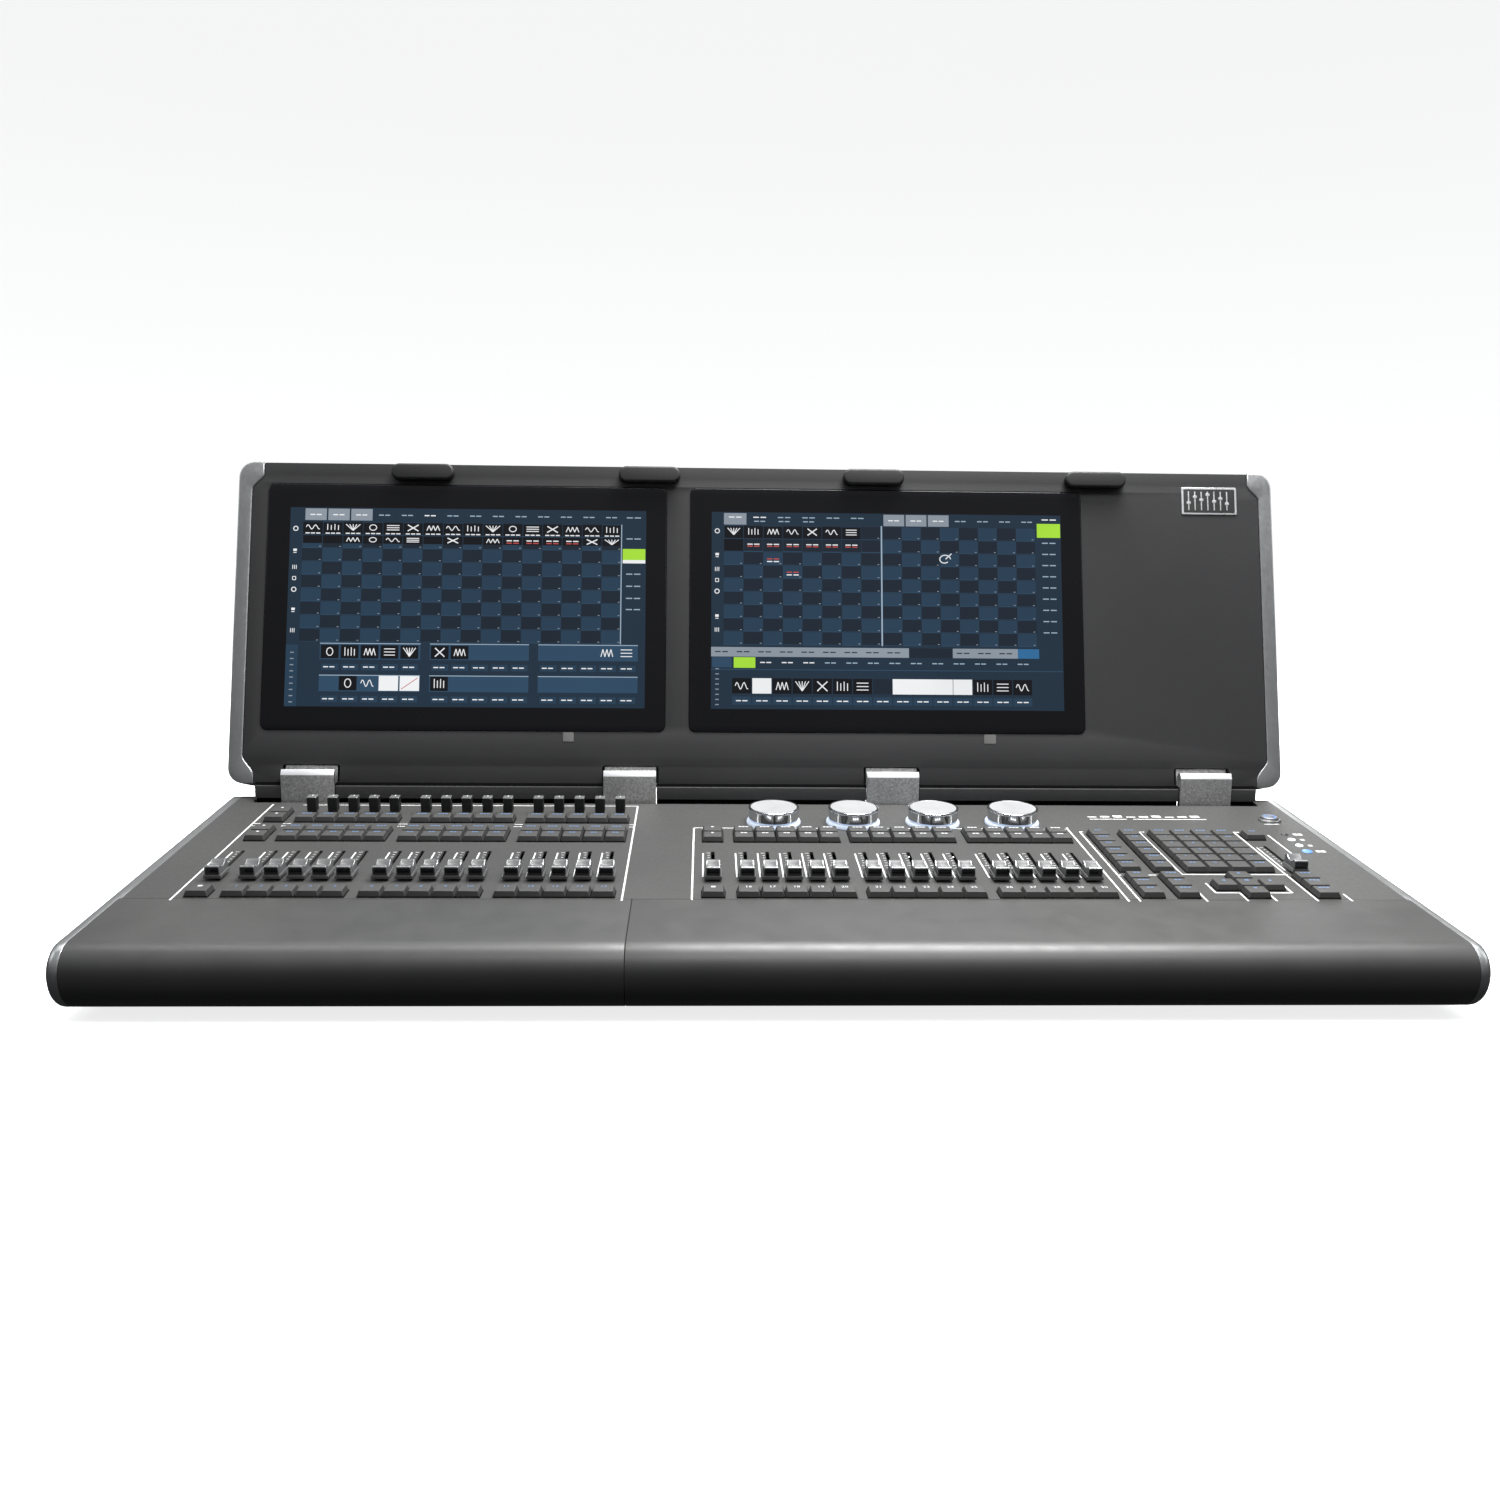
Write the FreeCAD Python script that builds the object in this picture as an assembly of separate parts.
import FreeCAD, Part
import os, math
from FreeCAD import Vector as V

# Lighting control desk: a wedge-shaped base with a sloping control panel, a
# padded-looking round-nosed armrest along the front, and a hinged screen lid
# on four brackets.  Millimetres, +X to the operator's right, +Y to the rear,
# +Z up.  Origin: centre of the bounding box, on the surface it stands on.
os.makedirs("parts", exist_ok=True)

# ---------------------------------------------------------------- dimensions
HALF_W = 508.0          # half of the overall width
CHEEK_T = 11.8          # thickness of a silver side cheek
CHEEK_NOSE_T = 9.8      # thinner beside the armrest, which laps over it
CHEEK_R = 6.0           # rounding of its outer edge
BODY_HW = 496.0         # half width of the dark body between the cheeks
FOOT_H = 8.0            # height of the rubber feet
PANEL_Z = 66.0          # height of the panel's front edge
SLOPE = 6.0             # slope of the control panel, degrees
PANEL_T = 2.5           # panel sheet thickness
PANEL_LEN = 252.0       # panel length up the slope, between the end zones
END_ZONE_X = 480.0      # outside this the top runs on to the rear corner
END_ZONE_LEN = 271.0
NOSE_TIP_Y = -101.5     # front of the armrest
NOSE_R1, NOSE_R2 = 22.0, 27.52   # upper and lower rounding of the nose
REAR_Y = 285.0          # rear face of the base
REAR_R = 15.0
KEY_PITCH = 18.8
ROW_PITCH = 17.25
KEY_W, KEY_D = 18.15, 16.6       # keycap foot
KEY_TW, KEY_TD = 15.3, 13.8      # keycap top
KEY_H0, KEY_H1 = 0.6, 5.2        # foot and top heights over the panel
KEY_GAP = 0.45                   # clearance round a block of keys in its opening
STEM = 7.0
KEY_TRAVEL = 1.6
FADER_REST_T = 48.5
FADER_TRAVEL = 60.0
KNOB_S = 8.8            # side of a square knob
CAP_L, CAP_W = 21.0, 13.8
CAP_H0, CAP_H1 = 1.8, 12.4
LEVER_W, LEVER_L = 1.6, 6.0
SLOT_W = 3.0
KNOB_H0, KNOB_H1 = 2.0, 16.0
WHEEL_R, WHEEL_H0, WHEEL_H1 = 23.0, 4.0, 15.0
LID_LEAN = 14.0         # lean of the screen lid behind the vertical, at rest
LID_Y, LID_Z = 266.0, 107.6      # lower front edge of the lid at rest
LID_H = 314.0
LID_D = 34.0
BEZEL_T = 3.0
AXIS_Y, AXIS_Z = 264.0, 118.0    # hinge axis, just in front of the lid face
KNUCKLE_R = 4.0
PIN_R = 1.75
HINGE_X = (-429.6, -126.0, 126.0, 429.6)
BRACKET_HW = 25.0
GLASS = ((-479.0, -93.3), (-70.0, 316.0))
GLASS_U = (51.7, 292.3)
BUMPER_X = (-330.0, -110.0, 110.0, 330.0)
BUMPER_T = 9.0

sinL, cosL = math.sin(math.radians(LID_LEAN)), math.cos(math.radians(LID_LEAN))
# shift that puts the origin under the middle of the bounding box
Y_FRONT = NOSE_TIP_Y
Y_BACK = LID_Y + LID_H * sinL + LID_D * cosL
DY = -(Y_FRONT + Y_BACK) / 2.0

PANEL = FreeCAD.Placement(V(0, DY, PANEL_Z), FreeCAD.Rotation(V(1, 0, 0), SLOPE))
LID = FreeCAD.Placement(V(0, LID_Y + DY, LID_Z), FreeCAD.Rotation(V(1, 0, 0), -LID_LEAN))
BASE = FreeCAD.Placement(V(0, DY, 0), FreeCAD.Rotation())


def put(shape, place):
    s = shape.copy()
    s.Placement = place.multiply(s.Placement)
    return s


def save(name, shapes, place):
    if not isinstance(shapes, (list, tuple)):
        shapes = [shapes]
    solids = []
    for s in shapes:
        solids += put(s, place).Solids
    for s in solids:
        if not s.isValid() or s.Volume <= 0:
            raise RuntimeError("bad solid in " + name)
    c = solids[0] if len(solids) == 1 else Part.makeCompound(solids)
    c.exportStep("parts/" + name + ".step")
    b = c.BoundBox
    print("%-22s n=%3d vol=%9.0f  X %.1f..%.1f Y %.1f..%.1f Z %.1f..%.1f" % (
        name, len(solids), c.Volume, b.XMin, b.XMax, b.YMin, b.YMax, b.ZMin, b.ZMax))


def box(x0, x1, y0, y1, z0, z1):
    return Part.makeBox(x1 - x0, y1 - y0, z1 - z0, V(x0, y0, z0))


def cyl(x, y, z0, z1, r):
    return Part.makeCylinder(r, z1 - z0, V(x, y, z0))


def poly_x(points, x0, x1):
    """Prism along X of a closed polygon of (y, z) points."""
    w = Part.makePolygon([V(x0, p[0], p[1]) for p in points + [points[0]]])
    return Part.Face(w).extrude(V(x1 - x0, 0, 0))


def poly_z(points, z0, z1):
    w = Part.makePolygon([V(p[0], p[1], z0) for p in points + [points[0]]])
    return Part.Face(w).extrude(V(0, 0, z1 - z0))


def rrect_wire(x0, x1, y0, y1, z, r):
    e = []
    e.append(Part.LineSegment(V(x0 + r, y0, z), V(x1 - r, y0, z)).toShape())
    k = r * (1 - math.sqrt(0.5))
    e.append(Part.Arc(V(x1 - r, y0, z), V(x1 - k, y0 + k, z), V(x1, y0 + r, z)).toShape())
    e.append(Part.LineSegment(V(x1, y0 + r, z), V(x1, y1 - r, z)).toShape())
    e.append(Part.Arc(V(x1, y1 - r, z), V(x1 - k, y1 - k, z), V(x1 - r, y1, z)).toShape())
    e.append(Part.LineSegment(V(x1 - r, y1, z), V(x0 + r, y1, z)).toShape())
    e.append(Part.Arc(V(x0 + r, y1, z), V(x0 + k, y1 - k, z), V(x0, y1 - r, z)).toShape())
    e.append(Part.LineSegment(V(x0, y1 - r, z), V(x0, y0 + r, z)).toShape())
    e.append(Part.Arc(V(x0, y0 + r, z), V(x0 + k, y0 + k, z), V(x0 + r, y0, z)).toShape())
    return Part.Wire(e)


def rect_wire(x0, x1, y0, y1, z):
    return Part.makePolygon([V(x0, y0, z), V(x1, y0, z), V(x1, y1, z), V(x0, y1, z), V(x0, y0, z)])


def circ_wire(x, y, z, r):
    return Part.Wire(Part.Circle(V(x, y, z), V(0, 0, 1), r).toShape())


def zp(y):
    """Height of the panel's top surface at depth y."""
    return PANEL_Z + y * math.tan(math.radians(SLOPE))


# ------------------------------------------------------------ control layout
def group_x(starts):
    return [s + KEY_PITCH * (i + 0.5) for s in starts for i in range(5)]


LEFT_SINGLE = -441.5
LEFT_X = group_x((-423.6, -320.2, -217.0))
RIGHT_SINGLE = -47.4
RIGHT_X = group_x((-29.4, 72.3, 175.3))
FRONT_T = 1.4
ROW = {0: 206.9, 1: 189.65, 2: 153.75, 3: 136.5, 4: FRONT_T}


def row_t(k):
    return ROW[k] + ROW_PITCH / 2


keys = {}
keys["keys_left_upper"] = [(x, row_t(1)) for x in [LEFT_SINGLE] + LEFT_X] + [(LEFT_SINGLE, row_t(0))]
keys["keys_left_middle"] = [(x, row_t(k)) for k in (2, 3) for x in [LEFT_SINGLE] + LEFT_X]
keys["keys_left_front"] = [(x, row_t(4)) for x in [LEFT_SINGLE] + LEFT_X]
keys["keys_right_middle"] = [(x, row_t(k)) for k in (2, 3) for x in [RIGHT_SINGLE] + RIGHT_X]
keys["keys_right_front"] = [(x, row_t(4)) for x in [RIGHT_SINGLE] + RIGHT_X]
low3 = [FRONT_T + ROW_PITCH * (i + 0.5) for i in range(3)]
up6 = [61.2 + ROW_PITCH * (i + 0.5) for i in range(6)]
FUN_X = (296.4, 324.4)
NUM_X = [342.1 + KEY_PITCH * (i + 0.5) for i in range(4)]
ARROW_X = 380.0
SIDE_X = 435.2
SIDE_TOP = 154.6
keys["keys_function"] = [(x, t) for x in FUN_X for t in low3 + up6]
keys["keys_number"] = [(x, t) for x in NUM_X for t in up6]
keys["keys_arrow"] = [(ARROW_X, low3[2]), (ARROW_X - KEY_PITCH, low3[1]), (ARROW_X, low3[1]), (ARROW_X + KEY_PITCH, low3[1]), (ARROW_X, low3[0])]
keys["keys_side"] = [(SIDE_X, t) for t in low3] + [(SIDE_X, SIDE_TOP)]
ENC_X = (8.4, 81.2, 154.2, 227.4)
ENC_T = 196.0
KNOB_T = 220.5
BTN_X, BTN_T, BTN_R = 471.0, 205.0, 7.6
SIDE_FADER = (436.0, 67.5)

# ------------------------------------------------------------------- keycaps
foot = rect_wire(-KEY_W / 2, KEY_W / 2, -KEY_D / 2, KEY_D / 2, KEY_H0)
# the top is set back a little more at the front than at the rear
top = rect_wire(-KEY_TW / 2, KEY_TW / 2, -KEY_TD / 2 + 0.1, KEY_TD / 2 + 0.1, KEY_H1)
cap = Part.makeLoft([foot, top], True, True)
cap = cap.fuse(box(-KEY_W / 2, KEY_W / 2, -KEY_D / 2, KEY_D / 2, KEY_H0 - 0.9, KEY_H0)).removeSplitter()
key = cap.fuse(box(-STEM / 2, STEM / 2, -STEM / 2, STEM / 2, -6.0, KEY_H0 + 1)).removeSplitter()
for name, pts in keys.items():
    out = []
    for x, t in pts:
        k = key.copy()
        k.translate(V(x, t, 0))
        out.append(k)
    save(name, out, PANEL)

# --------------------------------------------------------------- fader caps
prof = [(-CAP_L / 2, CAP_H0), (CAP_L / 2, CAP_H0), (CAP_L / 2 - 1.6, CAP_H1), (6.4, CAP_H1),
        (2.6, CAP_H1 - 2.6), (-2.6, CAP_H1 - 2.6), (-6.4, CAP_H1), (-CAP_L / 2 + 1.6, CAP_H1)]
fcap = poly_x(prof, -CAP_W / 2, CAP_W / 2)
fcap = fcap.fuse(box(-LEVER_W / 2, LEVER_W / 2, -LEVER_L / 2, LEVER_L / 2, -6.0, CAP_H0 + 1)).removeSplitter()


def caps(pts):
    out = []
    for x, t in pts:
        k = fcap.copy()
        k.translate(V(x, t, 0))
        out.append(k)
    return out


save("fader_caps_left", caps([(x, FADER_REST_T) for x in LEFT_X]), PANEL)
save("fader_caps_right", caps([(x, FADER_REST_T) for x in RIGHT_X]), PANEL)
save("fader_master_left", caps([(LEFT_SINGLE, FADER_REST_T)]), PANEL)
save("fader_master_right", caps([(RIGHT_SINGLE, FADER_REST_T)]), PANEL)
save("fader_cap_side", caps([SIDE_FADER]), PANEL)
faders = [(x, FADER_REST_T) for x in [LEFT_SINGLE] + LEFT_X + [RIGHT_SINGLE] + RIGHT_X] + [SIDE_FADER]

# ------------------------------------------------- knobs, wheels and button
for i, x in enumerate(LEFT_X):
    k = box(-KNOB_S / 2, KNOB_S / 2, -KNOB_S / 2, KNOB_S / 2, KNOB_H0, KNOB_H1).fuse(cyl(0, 0, -6.0, KNOB_H0 + 1, 3.0)).removeSplitter()
    # pointer groove along the top
    k = k.cut(box(-0.5, 0.5, 0.5, KNOB_S / 2 + 1, KNOB_H1 - 0.8, KNOB_H1 + 1))
    k.translate(V(x, KNOB_T, 0))
    save("rotary_knob_%02d" % (i + 1), k, PANEL)
for i, x in enumerate(ENC_X):
    w = cyl(0, 0, WHEEL_H0, WHEEL_H1, WHEEL_R).fuse(cyl(0, 0, -6.5, WHEEL_H0 + 1, 6.0)).removeSplitter()
    w.translate(V(x, ENC_T, 0))
    save("encoder_wheel_%d" % (i + 1), w, PANEL)
b = cyl(BTN_X, BTN_T, 2.2, 4.4, BTN_R).fuse(cyl(BTN_X, BTN_T, -6.0, 3.0, 5.0)).removeSplitter()
save("power_button", b, PANEL)
rings = [cyl(x, ENC_T, 0, 3.0, 24.6).cut(cyl(x, ENC_T, -1, 4, 8.0)) for x in ENC_X]
rings.append(cyl(BTN_X, BTN_T, 0, 2.6, 10.2).cut(cyl(BTN_X, BTN_T, -1, 4, BTN_R + 0.7)))
save("control_rings", rings, PANEL)

# ------------------------------------------------------------- control panel
# flat sheet with an opening for each block of keys, fader lever, knob and wheel shaft
outer = Part.makePolygon([V(-BODY_HW, 0, -PANEL_T), V(BODY_HW, 0, -PANEL_T), V(BODY_HW, END_ZONE_LEN, -PANEL_T),
                          V(END_ZONE_X, END_ZONE_LEN, -PANEL_T), V(END_ZONE_X, PANEL_LEN, -PANEL_T),
                          V(-END_ZONE_X, PANEL_LEN, -PANEL_T), V(-END_ZONE_X, END_ZONE_LEN, -PANEL_T),
                          V(-BODY_HW, END_ZONE_LEN, -PANEL_T), V(-BODY_HW, 0, -PANEL_T)])
holes = []
for x, t in faders:
    holes.append(rect_wire(x - SLOT_W / 2, x + SLOT_W / 2, t - LEVER_L / 2 - 0.7, t + FADER_TRAVEL + LEVER_L / 2 + 0.7, -PANEL_T))
for x in LEFT_X:
    holes.append(circ_wire(x, KNOB_T, -PANEL_T, 3.7))
for x in ENC_X:
    holes.append(circ_wire(x, ENC_T, -PANEL_T, 6.8))
holes.append(circ_wire(BTN_X, BTN_T, -PANEL_T, 5.7))
face = Part.Face([outer] + holes)
face.validate()
sheet = face.extrude(V(0, 0, PANEL_T))
# each block of keys stands in one opening
gx_, gt_ = KEY_W / 2 + KEY_GAP, KEY_D / 2 + KEY_GAP


def opening(xs, ts):
    return box(min(xs) - gx_, max(xs) + gx_, min(ts) - gt_, max(ts) + gt_, -PANEL_T - 1, 1)


cut = []
for xs in (LEFT_X[0:5], LEFT_X[5:10], LEFT_X[10:15]):
    cut += [opening(xs, [row_t(1)]), opening(xs, [row_t(2), row_t(3)]), opening(xs, [row_t(4)])]
cut += [opening([LEFT_SINGLE], [row_t(0), row_t(1)]), opening([LEFT_SINGLE], [row_t(2), row_t(3)]), opening([LEFT_SINGLE], [row_t(4)])]
for xs in (RIGHT_X[0:5], RIGHT_X[5:10], RIGHT_X[10:15], [RIGHT_SINGLE]):
    cut += [opening(xs, [row_t(2), row_t(3)]), opening(xs, [row_t(4)])]
for x in FUN_X:
    cut += [opening([x], low3), opening([x], up6)]
cut += [opening(NUM_X, up6), opening([ARROW_X], low3), opening([ARROW_X - KEY_PITCH, ARROW_X + KEY_PITCH], [low3[1]]),
        opening([SIDE_X], low3), opening([SIDE_X], [SIDE_TOP])]
for c in cut:
    sheet = sheet.cut(c)
# front lip, rear step down into the hinge trough, trough floor
tf = PANEL_LEN * math.cos(math.radians(SLOPE))
TROUGH_Z = 86.0
sheet = put(sheet, FreeCAD.Placement(V(0, 0, PANEL_Z), FreeCAD.Rotation(V(1, 0, 0), SLOPE)))
zs = zp(tf)
y_under = tf - 2.5
step = poly_x([(y_under, zs - 1.2), (y_under, TROUGH_Z - 2.5), (REAR_Y - 2.4, TROUGH_Z - 2.5), (REAR_Y - 2.4, TROUGH_Z),
               (tf, TROUGH_Z), (tf, zs - 0.4)], -END_ZONE_X + 0.01, END_ZONE_X - 0.01)
front_lip = box(-BODY_HW + 2.8, BODY_HW - 2.8, 0.0, 1.5, 20.0, PANEL_Z - 2.0)
control_panel = sheet.fuse([step, front_lip])
ze = zp(END_ZONE_LEN * math.cos(math.radians(SLOPE)))
ye = END_ZONE_LEN * math.cos(math.radians(SLOPE))


def rear_profile(x0, x1, inset):
    """Rear corner of the top, (y, z), with the rounded edge."""
    yy, zz = REAR_Y - inset, ze - inset
    r = REAR_R
    e = [Part.LineSegment(V(x0, tf, zp(tf) - inset), V(x0, ye, zz)).toShape(),
         Part.Arc(V(x0, ye, zz), V(x0, ye + (yy - ye) * 0.72, zz - r * 0.30), V(x0, yy, zz - r)).toShape(),
         Part.LineSegment(V(x0, yy, zz - r), V(x0, yy, 72.0)).toShape(),
         Part.LineSegment(V(x0, yy, 72.0), V(x0, tf, 72.0)).toShape(),
         Part.LineSegment(V(x0, tf, 72.0), V(x0, tf, zp(tf) - inset)).toShape()]
    return Part.Face(Part.Wire(e)).extrude(V(x1 - x0, 0, 0))


corner_r = rear_profile(END_ZONE_X, BODY_HW, 0.0)
corner_l = rear_profile(-BODY_HW, -END_ZONE_X, 0.0)
control_panel = control_panel.fuse([corner_r, corner_l])
# the sheet's own end strips are inside the corner blocks
control_panel = control_panel.removeSplitter()
save("control_panel", control_panel, BASE)

# ------------------------------------------------------------------ armrests
S6 = math.sin(math.radians(SLOPE))
C6 = math.cos(math.radians(SLOPE))
NB = (NOSE_TIP_Y + NOSE_R1 * (1 - S6), zp(NOSE_TIP_Y + NOSE_R1 * (1 - S6)))     # end of the flat top
N1 = (NOSE_TIP_Y + NOSE_R1, NB[1] - NOSE_R1 * C6)                                # centre of the upper arc
ND = (NOSE_TIP_Y + NOSE_R2, N1[1] - NOSE_R2)                                     # start of the flat underside


def nose_edges(x, y_rear):
    """Flat top running on at the panel's slope, two arcs round the front, flat underside."""
    q = math.radians(48.0)
    h = math.sqrt(0.5)
    return [Part.LineSegment(V(x, y_rear, zp(y_rear)), V(x, NB[0], NB[1])).toShape(),
            Part.Arc(V(x, NB[0], NB[1]), V(x, N1[0] - NOSE_R1 * math.sin(q), N1[1] + NOSE_R1 * math.cos(q)), V(x, NOSE_TIP_Y, N1[1])).toShape(),
            Part.Arc(V(x, NOSE_TIP_Y, N1[1]), V(x, ND[0] - NOSE_R2 * h, N1[1] - NOSE_R2 * h), V(x, ND[0], ND[1])).toShape()]


def nose_face(x):
    z0 = ND[1]
    e = nose_edges(x, -0.3)
    e += [Part.LineSegment(V(x, ND[0], z0), V(x, -44.0, z0)).toShape(),
          Part.LineSegment(V(x, -44.0, z0), V(x, -44.0, 58.0)).toShape(),
          Part.LineSegment(V(x, -44.0, 58.0), V(x, -0.3, 58.0)).toShape(),
          Part.LineSegment(V(x, -0.3, 58.0), V(x, -0.3, zp(-0.3))).toShape()]
    return Part.Face(Part.Wire(e))


SEAM_X = -110.0
ARM_HW = HALF_W - CHEEK_NOSE_T - 0.2
save("armrest_left", nose_face(-ARM_HW).extrude(V(SEAM_X - 0.2 + ARM_HW, 0, 0)), BASE)
save("armrest_right", nose_face(SEAM_X + 0.2).extrude(V(ARM_HW - SEAM_X - 0.2, 0, 0)), BASE)

# -------------------------------------------------------------- side cheeks
def cheek_face(x):
    z0 = ND[1]
    e = [Part.LineSegment(V(x, REAR_Y, z0), V(x, ND[0], z0)).toShape()]
    e += nose_edges(x, ye)
    e += [Part.Arc(V(x, ye, ze), V(x, ye + (REAR_Y - ye) * 0.72, ze - REAR_R * 0.30), V(x, REAR_Y, ze - REAR_R)).toShape(),
          Part.LineSegment(V(x, REAR_Y, ze - REAR_R), V(x, REAR_Y, z0)).toShape()]
    return Part.Face(Part.Wire(Part.__sortEdges__(e)))


cheek = cheek_face(HALF_W - CHEEK_T).extrude(V(CHEEK_T, 0, 0))
cheek = cheek.cut(box(HALF_W - CHEEK_T - 1, HALF_W - CHEEK_NOSE_T, NOSE_TIP_Y - 2, -0.1, 0.0, PANEL_Z + 3))
outer_edges = [e for e in cheek.Edges if min(v.Point.x for v in e.Vertexes) > HALF_W - 0.01]
cheek = cheek.makeFillet(CHEEK_R, outer_edges)
save("side_cheeks", [cheek, cheek.mirror(V(0, 0, 0), V(1, 0, 0))], BASE)

# ---------------------------------------------------- tray and rear panel
FLOOR_T = 2.0
tray = box(-BODY_HW + 0.2, BODY_HW - 0.2, -43.6, REAR_Y - 2.2, FOOT_H, FOOT_H + FLOOR_T)
tray = tray.fuse([box(-BODY_HW + 0.2, BODY_HW - 0.2, -43.6, -41.6, FOOT_H, 57.6),
                  box(-BODY_HW + 0.2, -BODY_HW + 2.2, -41.6, REAR_Y - 2.2, FOOT_H, 57.6),
                  box(BODY_HW - 2.2, BODY_HW - 0.2, -41.6, REAR_Y - 2.2, FOOT_H, 57.6)]).removeSplitter()
save("bottom_tray", tray, BASE)

RP_Y0, RP_Y1 = REAR_Y - 2.0, REAR_Y
rp_outer = [(-BODY_HW + 0.2, FOOT_H), (BODY_HW - 0.2, FOOT_H), (BODY_HW - 0.2, 71.6), (END_ZONE_X - 0.4, 71.6),
            (END_ZONE_X - 0.4, TROUGH_Z), (-END_ZONE_X + 0.4, TROUGH_Z), (-END_ZONE_X + 0.4, 71.6), (-BODY_HW + 0.2, 71.6)]


def xz_wire(pts, y):
    return Part.makePolygon([V(p[0], y, p[1]) for p in pts + [pts[0]]])


def xz_rect(x0, x1, z0, z1, y):
    return xz_wire([(x0, z0), (x1, z0), (x1, z1), (x0, z1)], y)


def xz_circ(x, z, r, y):
    return Part.Wire(Part.Circle(V(x, y, z), V(0, 1, 0), r).toShape())


INLET_X, CONN_Z = 420.0, 42.0
XLR_X = (-340.0, -300.0, -260.0, -220.0)
NET_X = (-150.0, -125.0)
USB_X = (-85.0, -65.0)
VIDEO_X = (-20.0,)
rp_holes = [xz_rect(INLET_X - 14.2, INLET_X + 14.2, CONN_Z - 10.6, CONN_Z + 10.6, RP_Y0)]
rp_holes += [xz_circ(x, CONN_Z, 12.2, RP_Y0) for x in XLR_X]
rp_holes += [xz_rect(x - 8.6, x + 8.6, CONN_Z - 7.2, CONN_Z + 7.2, RP_Y0) for x in NET_X]
rp_holes += [xz_rect(x - 3.8, x + 3.8, CONN_Z - 7.4, CONN_Z + 7.4, RP_Y0) for x in USB_X]
rp_holes += [xz_rect(x - 9.4, x + 9.4, CONN_Z - 3.7, CONN_Z + 3.7, RP_Y0) for x in VIDEO_X]
VENT = [(120.0 + 9.0 * i, 30.0 + 14.0 * j) for i in range(18) for j in range(3)]
rp_holes += [xz_rect(x - 1.5, x + 1.5, z - 5.0, z + 5.0, RP_Y0) for x, z in VENT]
rp = Part.Face([xz_wire(rp_outer, RP_Y0)] + rp_holes)
rp.validate()
rear_panel = rp.extrude(V(0, 2.0, 0))
save("rear_panel", rear_panel, BASE)

conn = []
# appliance inlet: recessed socket with three blades
c = box(INLET_X - 14.0, INLET_X + 14.0, 258.0, REAR_Y + 0.8, CONN_Z - 10.4, CONN_Z + 10.4)
c = c.fuse(box(INLET_X - 25.0, INLET_X + 25.0, REAR_Y, REAR_Y + 1.6, CONN_Z - 12.0, CONN_Z + 12.0))
c = c.cut(box(INLET_X - 12.2, INLET_X + 12.2, 266.0, REAR_Y + 5, CONN_Z - 8.2, CONN_Z + 8.2))
c = c.fuse([box(INLET_X - 8.0, INLET_X - 6.0, 265.0, 280.0, CONN_Z + 0.6, CONN_Z + 4.6),
            box(INLET_X + 6.0, INLET_X + 8.0, 265.0, 280.0, CONN_Z + 0.6, CONN_Z + 4.6),
            box(INLET_X - 1.0, INLET_X + 1.0, 265.0, 282.0, CONN_Z + 2.6, CONN_Z + 6.6)])
conn.append(c.removeSplitter())
for x in XLR_X:
    b = Part.makeCylinder(12.0, 24.0, V(x, 262.0, CONN_Z), V(0, 1, 0))
    b = b.fuse(box(x - 13.0, x + 13.0, REAR_Y, REAR_Y + 1.6, CONN_Z - 15.5, CONN_Z + 15.5))
    # the contact face is set back from the flange
    b = b.cut(Part.makeCylinder(9.6, 4.0, V(x, REAR_Y - 1.4, CONN_Z), V(0, 1, 0))).removeSplitter()
    conn.append(b)
for x in NET_X:
    b = box(x - 8.4, x + 8.4, 262.0, REAR_Y + 1.2, CONN_Z - 7.0, CONN_Z + 7.0)
    b = b.cut(box(x - 5.9, x + 5.9, 270.0, REAR_Y + 5, CONN_Z - 4.6, CONN_Z + 3.6))
    conn.append(b)
for x in USB_X:
    b = box(x - 3.6, x + 3.6, 266.0, REAR_Y + 0.8, CONN_Z - 7.2, CONN_Z + 7.2)
    b = b.cut(box(x - 2.4, x + 2.4, 272.0, REAR_Y + 5, CONN_Z - 6.3, CONN_Z + 6.3))
    b = b.fuse(box(x - 1.9, x - 0.1, 271.0, 283.0, CONN_Z - 5.4, CONN_Z + 5.4)).removeSplitter()
    conn.append(b)
for x in VIDEO_X:
    b = box(x - 9.2, x + 9.2, 266.0, REAR_Y + 0.8, CONN_Z - 3.5, CONN_Z + 3.5)
    b = b.cut(box(x - 7.9, x + 7.9, 274.0, REAR_Y + 5, CONN_Z - 2.3, CONN_Z + 2.3))
    b = b.fuse(box(x - 6.0, x + 6.0, 273.0, 283.0, CONN_Z - 0.6, CONN_Z + 0.6)).removeSplitter()
    conn.append(b)
save("rear_connectors", conn, BASE)

# ------------------------------------------------------- feet and fasteners
FOOT_XY = [(x, y) for x in (-440.0, -150.0, 150.0, 440.0) for y in (-20.0, 255.0)]
save("rubber_feet", [Part.makeCone(11.0, 12.5, FOOT_H, V(x, y, 0)) for x, y in FOOT_XY], BASE)
SCREW_X = (-470.0, -380.0, -180.0, 60.0, 300.0, 465.0)
screws = [Part.makeCylinder(3.0, 1.6, V(x, REAR_Y, z), V(0, 1, 0)) for x in SCREW_X for z in (16.0, 66.0)]
save("case_screws", screws, BASE)

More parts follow.
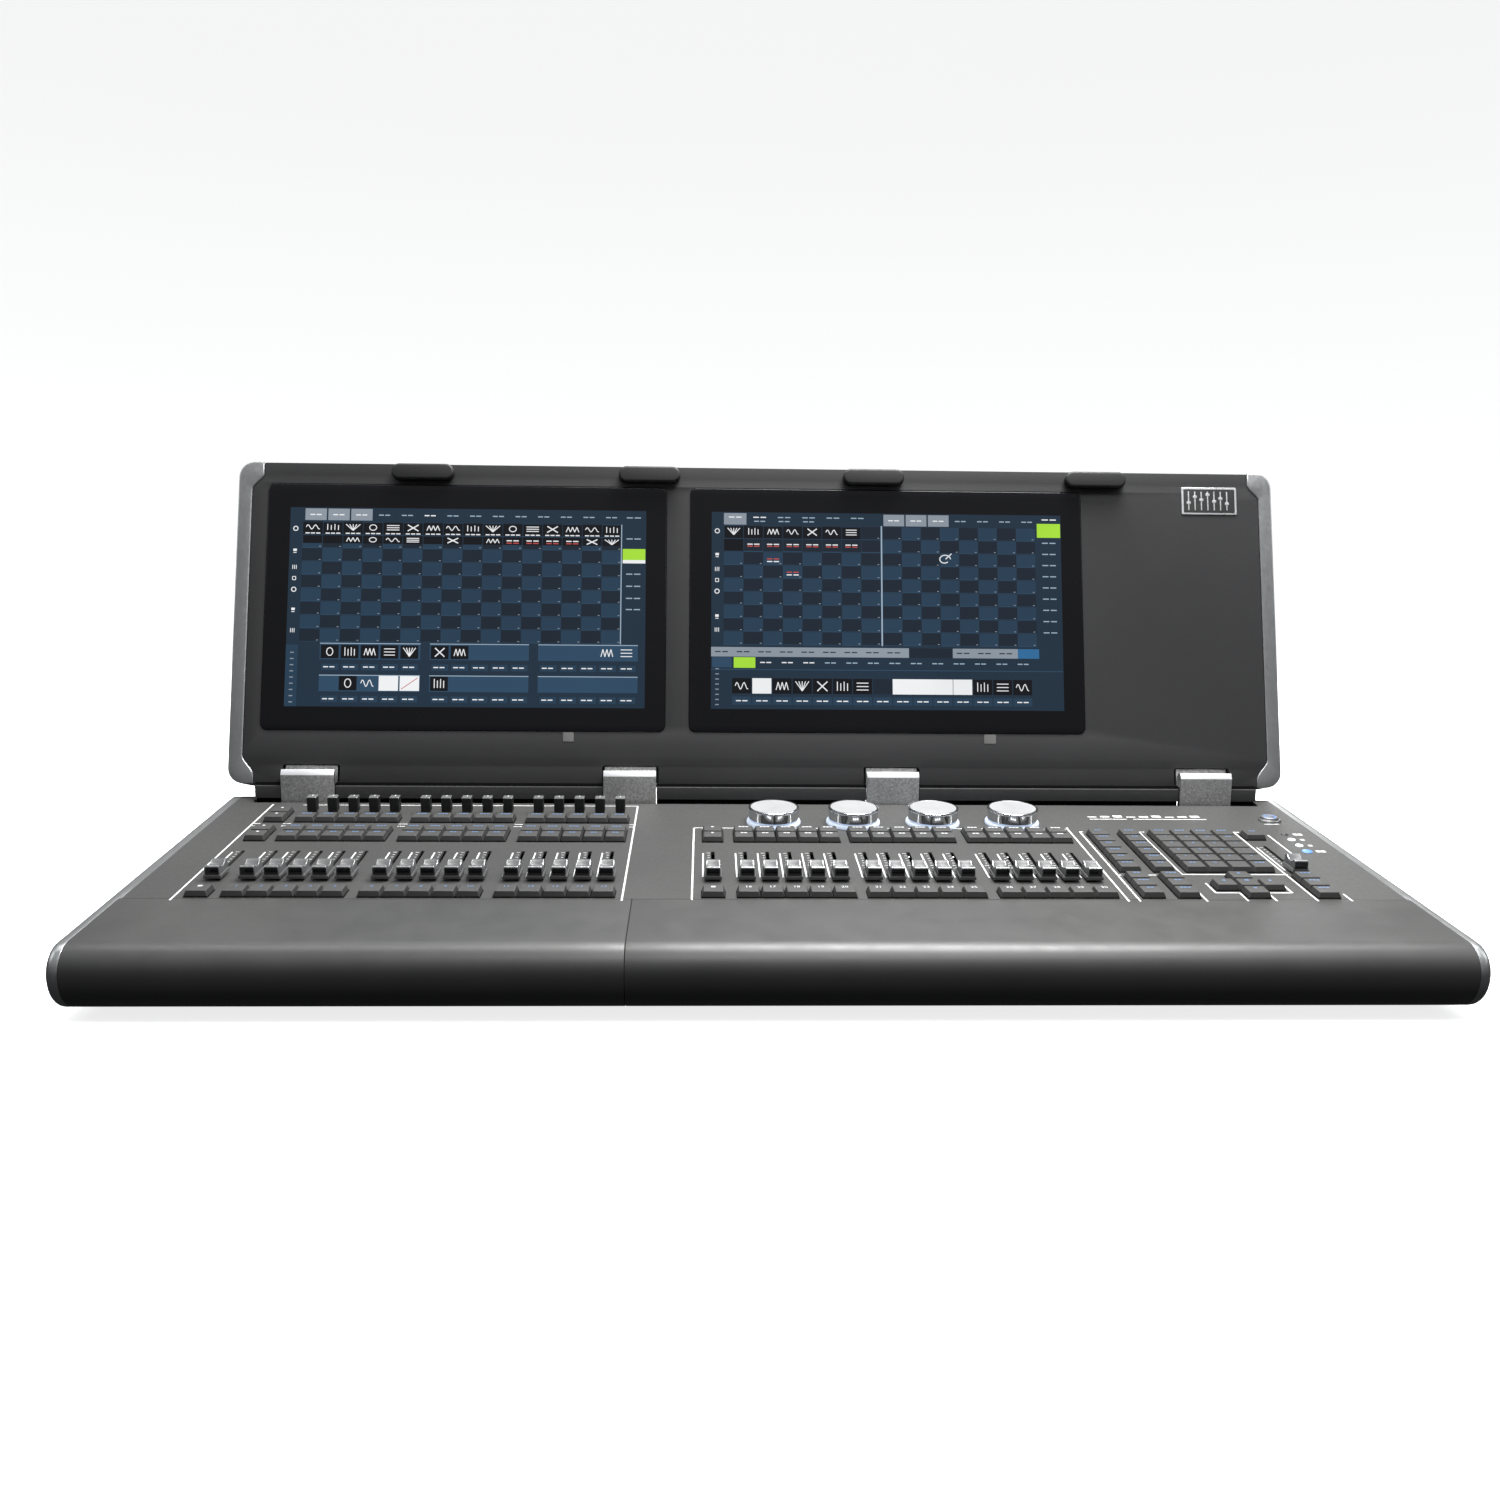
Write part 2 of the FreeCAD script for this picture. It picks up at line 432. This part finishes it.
# ------------------------------------------------------- hinge, fixed side
RAIL_Y0, RAIL_Y1, RAIL_Z1 = 257.0, 265.0, 107.2
ends = [-END_ZONE_X + 0.6] + [v for hx in HINGE_X for v in (hx - BRACKET_HW - 0.5, hx + BRACKET_HW + 0.5)] + [END_ZONE_X - 0.6]
rails = []
for i in range(0, len(ends), 2):
    # a bar on a set-back web with a raised seal strip close to the lid, one length between each pair of brackets
    rails.append(poly_x([(RAIL_Y0, 95.5), (RAIL_Y0, RAIL_Z1), (260.4, RAIL_Z1), (260.4, 110.4), (262.4, 110.4), (262.4, 105.6), (RAIL_Y1, 105.6),
                         (RAIL_Y1, TROUGH_Z), (RAIL_Y1 - 3.0, TROUGH_Z), (RAIL_Y1 - 3.0, 95.5)], ends[i], ends[i + 1]))
save("hinge_rail", rails, BASE)
BR_FRONT, BR_BACK = 255.5, 258.6
brackets, pins = [], []
for hx in HINGE_X:
    x0, x1 = hx - BRACKET_HW, hx + BRACKET_HW
    # bent plate: a foot on the trough floor, an upright front and a sloping top edge
    body = poly_x([(BR_FRONT, TROUGH_Z), (BR_FRONT, 118.0), (258.0, 122.4), (BR_BACK, 122.8), (BR_BACK, 113.0), (258.0, 112.0),
                   (258.0, TROUGH_Z + 2.5), (263.0, TROUGH_Z + 2.5), (263.0, TROUGH_Z)], x0, x1)
    for a0, a1 in ((x0, hx - 8.8), (hx + 8.8, x1)):
        web = poly_x([(BR_BACK - 0.5, 113.6), (BR_BACK - 0.5, 122.6), (AXIS_Y, AXIS_Z + 3.9), (AXIS_Y, AXIS_Z - 3.6)], a0, a1)
        kn = Part.makeCylinder(KNUCKLE_R, a1 - a0, V(a0, AXIS_Y, AXIS_Z), V(1, 0, 0))
        body = body.fuse([web, kn])
    body = body.cut(Part.makeCylinder(PIN_R, 2 * BRACKET_HW + 10, V(x0 - 5, AXIS_Y, AXIS_Z), V(1, 0, 0))).removeSplitter()
    brackets.append(body)
    pins.append(Part.makeCylinder(PIN_R, 2 * BRACKET_HW - 2.0, V(x0 + 1.0, AXIS_Y, AXIS_Z), V(1, 0, 0)))
save("hinge_brackets", brackets, BASE)
save("hinge_pins", pins, BASE)

# -------------------------------------------------- lid, in its own x, w, u
# hinge axis in the lid's frame
dY, dZ = AXIS_Y - LID_Y, AXIS_Z - LID_Z
AU = dY * sinL + dZ * cosL
AW = dY * cosL - dZ * sinL
leaves = []
for hx in HINGE_X:
    plate = box(hx - 24.5, hx + 24.5, 2.0, 5.0, 0.4, 18.0)
    web = box(hx - 8.0, hx + 8.0, AW, 2.6, AU - KNUCKLE_R, AU + KNUCKLE_R)
    kn = Part.makeCylinder(KNUCKLE_R, 16.0, V(hx - 8.0, AW, AU), V(1, 0, 0))
    leaf = plate.fuse([web, kn])
    leaf = leaf.cut(Part.makeCylinder(PIN_R + 0.07, 30.0, V(hx - 15, AW, AU), V(1, 0, 0))).removeSplitter()
    leaves.append(leaf)
save("lid_hinge_leaves", leaves, LID)

# end caps: rounded outer corners, wider at the top and the bottom
def cap_face(y):
    r = 15.0
    k = r * (1 - math.sqrt(0.5))
    X, T = HALF_W, LID_H
    e = [Part.LineSegment(V(484.0, y, T), V(X - r, y, T)).toShape(),
         Part.Arc(V(X - r, y, T), V(X - k, y, T - k), V(X, y, T - r)).toShape(),
         Part.LineSegment(V(X, y, T - r), V(X, y, r)).toShape(),
         Part.Arc(V(X, y, r), V(X - k, y, k), V(X - r, y, 0)).toShape(),
         Part.LineSegment(V(X - r, y, 0), V(484.0, y, 0)).toShape(),
         Part.LineSegment(V(484.0, y, 0), V(484.0, y, 7.0)).toShape(),
         Part.LineSegment(V(484.0, y, 7.0), V(495.0, y, 23.0)).toShape(),
         Part.LineSegment(V(495.0, y, 23.0), V(495.0, y, 286.0)).toShape(),
         Part.LineSegment(V(495.0, y, 286.0), V(484.0, y, 300.0)).toShape(),
         Part.LineSegment(V(484.0, y, 300.0), V(484.0, y, T)).toShape()]
    return Part.Face(Part.Wire(e))


capR = cap_face(0.0).extrude(V(0, LID_D, 0))
capL = capR.mirror(V(0, 0, 0), V(1, 0, 0))
save("lid_end_caps", [capR, capL], LID)

CL = 0.2
inner = [(-484.0 + CL, 0.0), (484.0 - CL, 0.0), (484.0 - CL, 7.0), (495.0 - CL, 23.0), (495.0 - CL, 286.0), (484.0 - CL, 300.0),
         (484.0 - CL, LID_H), (-484.0 + CL, LID_H), (-484.0 + CL, 300.0), (-495.0 + CL, 286.0), (-495.0 + CL, 23.0), (-484.0 + CL, 7.0)]


def xu_face(pts, y):
    return Part.Face(xz_wire(pts, y))


pockets = [box(hx - 27.0, hx + 27.0, -5.0, 5.0, -5.0, 18.6) for hx in HINGE_X]
bez = xu_face(inner, 0.0).extrude(V(0, BEZEL_T, 0))
cuts = list(pockets)
for gx0, gx1 in GLASS:
    cuts.append(box(gx0 - 0.2, gx1 + 0.2, -1, BEZEL_T + 1, GLASS_U[0] - 0.2, GLASS_U[1] + 0.2))
bez = bez.cut(Part.makeCompound(cuts))
save("lid_front_bezel", bez, LID)

shell = xu_face(inner, BEZEL_T).extrude(V(0, LID_D - BEZEL_T, 0))
WALL = 2.5
hollow = box(-484.0 + CL + WALL, 484.0 - CL - WALL, BEZEL_T - 1, LID_D - WALL, WALL, LID_H - WALL)
hollow2 = box(-495.0 + CL + WALL, 495.0 - CL - WALL, BEZEL_T - 1, LID_D - WALL, 26.0, 283.0)
shell = shell.cut(hollow.fuse(hollow2))
bosses = [box(hx - 29.0, hx + 29.0, 5.0, LID_D - WALL + 0.5, 1.0, 24.0) for hx in HINGE_X]
shell = shell.fuse(bosses)
shell = shell.cut(Part.makeCompound([box(hx - 27.0, hx + 27.0, 0.0, 5.0, -5.0, 18.6) for hx in HINGE_X])).removeSplitter()
save("lid_back_shell", shell, LID)

save("screen_glass", [box(a + 0.0, b - 0.0, -0.6, 2.4, GLASS_U[0], GLASS_U[1]) for a, b in GLASS], LID)
ACT = ((-457.3, -113.0), (-49.0, 295.7))
save("display_modules", [box(a - 6.0, b + 6.0, 3.2, 12.0, 66.0, 276.0) for a, b in ACT], LID)
save("lid_bumpers", [box(x - 30.0, x + 30.0, -BUMPER_T, 0.0, 296.0, 312.0) for x in BUMPER_X], LID)
save("badge_plate", [box(417.7, 472.7, -0.8, 0.0, 271.7, 299.3)], LID)

# -------------------------------------------------------------- inner parts
save("main_board", box(-260.0, 200.0, 20.0, 200.0, 18.0, 19.6), BASE)
save("power_supply", box(300.0, 450.0, 120.0, 245.0, 10.0, 46.0), BASE)
mods = [box(x - 6.0, x + 6.0, t - 12.0, t + FADER_TRAVEL + 12.0, -17.0, -7.4) for x, t in faders if (x, t) != SIDE_FADER]
mods.append(box(SIDE_FADER[0] - 6.0, SIDE_FADER[0] + 6.0, SIDE_FADER[1] - 9.0, SIDE_FADER[1] + FADER_TRAVEL + 9.0, -17.0, -7.4))
save("fader_modules", mods, PANEL)
boards = [box(-458.0, -116.0, 3.0, 22.0, -10.6, -9.0), box(-458.0, -116.0, 132.0, 226.0, -10.6, -9.0),
          box(-60.0, 275.0, 3.0, 22.0, -10.6, -9.0), box(-60.0, 275.0, 132.0, 224.0, -10.6, -9.0),
          box(284.0, 424.0, 3.0, 168.0, -10.6, -9.0), box(425.5, 447.0, 3.0, 55.0, -10.6, -9.0),
          box(425.5, 484.0, 142.0, 216.0, -10.6, -9.0)]
save("key_boards", boards, PANEL)
LED = [(468.0, 164.0, 3.2), (468.0, 149.0, 3.2), (468.0, 133.0, 3.2), (468.0, 117.0, 4.4)]
save("status_leds", [cyl(x, t, 0, 0.9, r) for x, t, r in LED], PANEL)

print("DY", DY, "hinge axis y,z m", (AXIS_Y + DY) / 1000, AXIS_Z / 1000)
